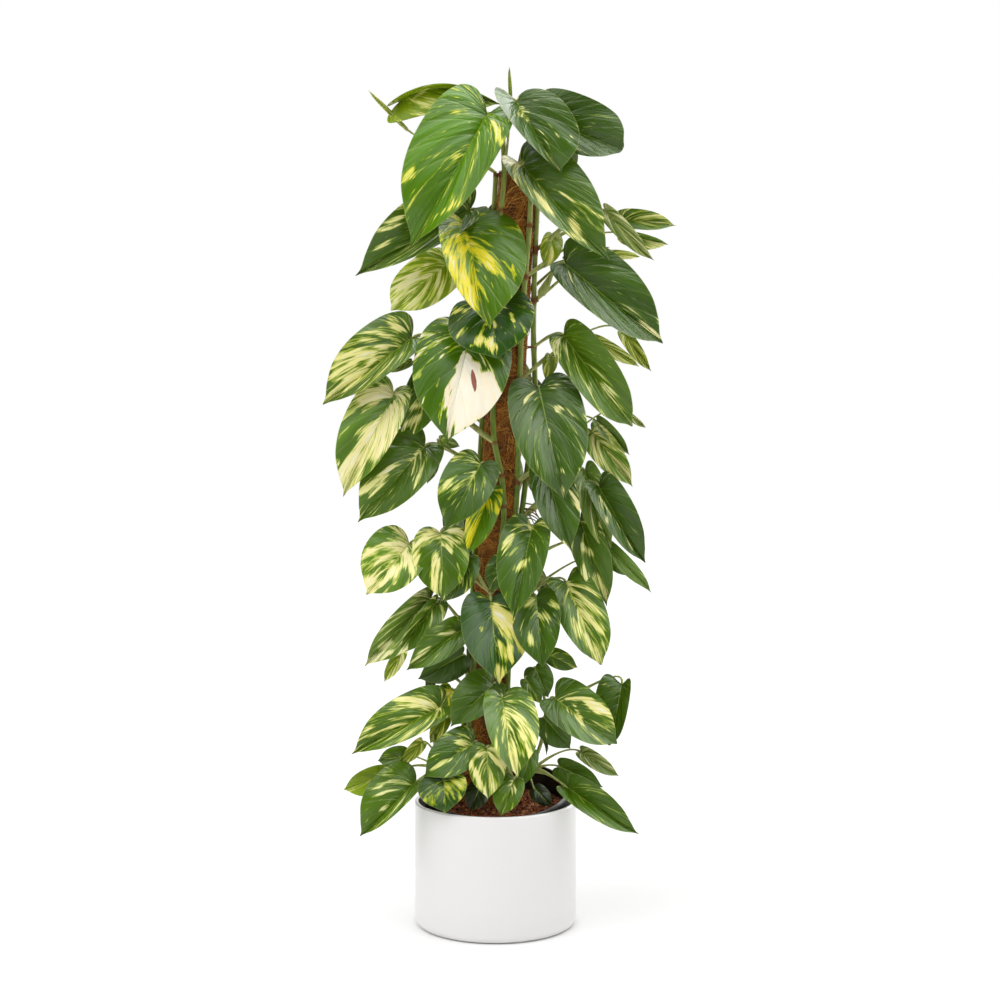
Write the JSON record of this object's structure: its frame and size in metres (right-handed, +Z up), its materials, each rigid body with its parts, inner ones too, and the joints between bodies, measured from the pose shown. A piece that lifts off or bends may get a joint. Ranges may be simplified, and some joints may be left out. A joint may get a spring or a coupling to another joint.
{
  "type": "potted variegated pothos on a coir pole",
  "caption": "Climbing houseplant with marbled heart-shaped leaves on a leaning coir pole, in a plain cylindrical ceramic pot with its nursery pot inside.",
  "frame": {"origin": "centre of the ceramic pot's flat underside, on the floor", "axes": "+Z up along the plant, -Y towards the viewer of the fuller side, +X to that viewer's right"},
  "size_m": [0.5941, 0.4415, 1.4505],
  "materials": {
    "ceramic": "satin white glaze",
    "nursery_plastic": "moulded, matt",
    "bark_soil": "loose bark and coir chips",
    "coir": "matted coconut fibre",
    "foliage": "waxy leaf, green marbled with cream"
  },
  "bodies": {
    "root": {"ceramic_pot": "ceramic", "nursery_pot": "nursery_plastic", "potting_soil": "bark_soil", "coir_pole": "coir", "vine_left": "foliage", "vine_right": "foliage", "vine_back": "foliage"}
  },
  "joints": []
}
